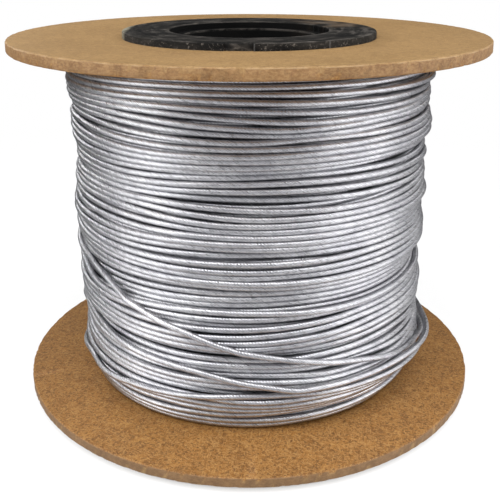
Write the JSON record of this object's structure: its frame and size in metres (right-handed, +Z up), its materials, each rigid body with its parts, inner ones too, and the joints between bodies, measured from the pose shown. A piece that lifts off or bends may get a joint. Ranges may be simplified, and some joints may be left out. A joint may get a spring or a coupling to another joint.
{
  "type": "reel of wire rope",
  "caption": "Round reel of thin wire rope: two hardboard flanges on a black moulded hub with a stepped bore, wound nearly full, with one slack turn low on the side",
  "frame": {"origin": "centre of the ring-shaped face that the reel stands on", "axes": "+Z up along the reel's axis, -Y towards the side with the rim notches, +X to the right as seen from there"},
  "size_m": [0.2032, 0.2032, 0.158],
  "materials": {
    "flange_board": "pressed fibre board, smooth matt face with short fibres, paler rough cut edge",
    "hub_plastic": "black moulded plastic, satin, lightly scuffed on its rims",
    "steel_rope": "thin zinc-coated steel rope, fine helical wires, bright streaks along each turn"
  },
  "bodies": {
    "root": {"bottom_flange": "flange_board", "top_flange": "flange_board", "core_barrel": "hub_plastic", "bottom_hub_collar": "hub_plastic", "top_hub_collar": "hub_plastic", "rope_coil": "steel_rope", "slack_turn": "steel_rope"}
  },
  "joints": []
}
